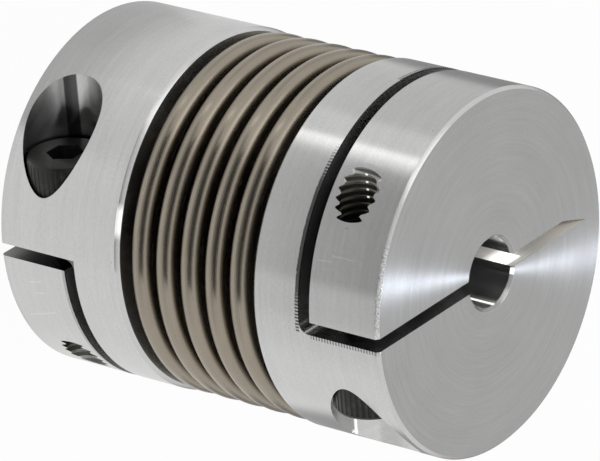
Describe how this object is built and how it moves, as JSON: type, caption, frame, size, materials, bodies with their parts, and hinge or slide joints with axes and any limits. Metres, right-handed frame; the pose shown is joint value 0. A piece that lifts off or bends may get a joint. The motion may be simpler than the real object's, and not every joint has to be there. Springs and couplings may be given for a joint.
{
  "type": "bellows coupling",
  "caption": "Clamp-type shaft coupling: split round aluminium hubs, each with a cross slot, a relief kerf and a recessed cap screw, joined by a convoluted steel bellows.",
  "frame": {"origin": "centre of the lower hub's end face, on the shaft axis, at the bottom of the part", "axes": "+Z along the shaft axis, up through the bellows to the upper hub; both clamp slits open to -Y and the clamp screws lie along X, the upper one's head on +X and the lower one's on -X"},
  "size_m": [0.0334, 0.0332, 0.042],
  "materials": {
    "hub_aluminium": "bright turned, with fine circular tool marks and a few small nicks",
    "bellows_steel": "formed stainless sheet, satin, with a slight straw tint",
    "screw_steel": "black oxide"
  },
  "bodies": {
    "root": {"lower_hub": "hub_aluminium", "upper_hub": "hub_aluminium", "bellows": "bellows_steel", "lower_clamp_screw": "screw_steel", "upper_clamp_screw": "screw_steel"}
  },
  "joints": []
}
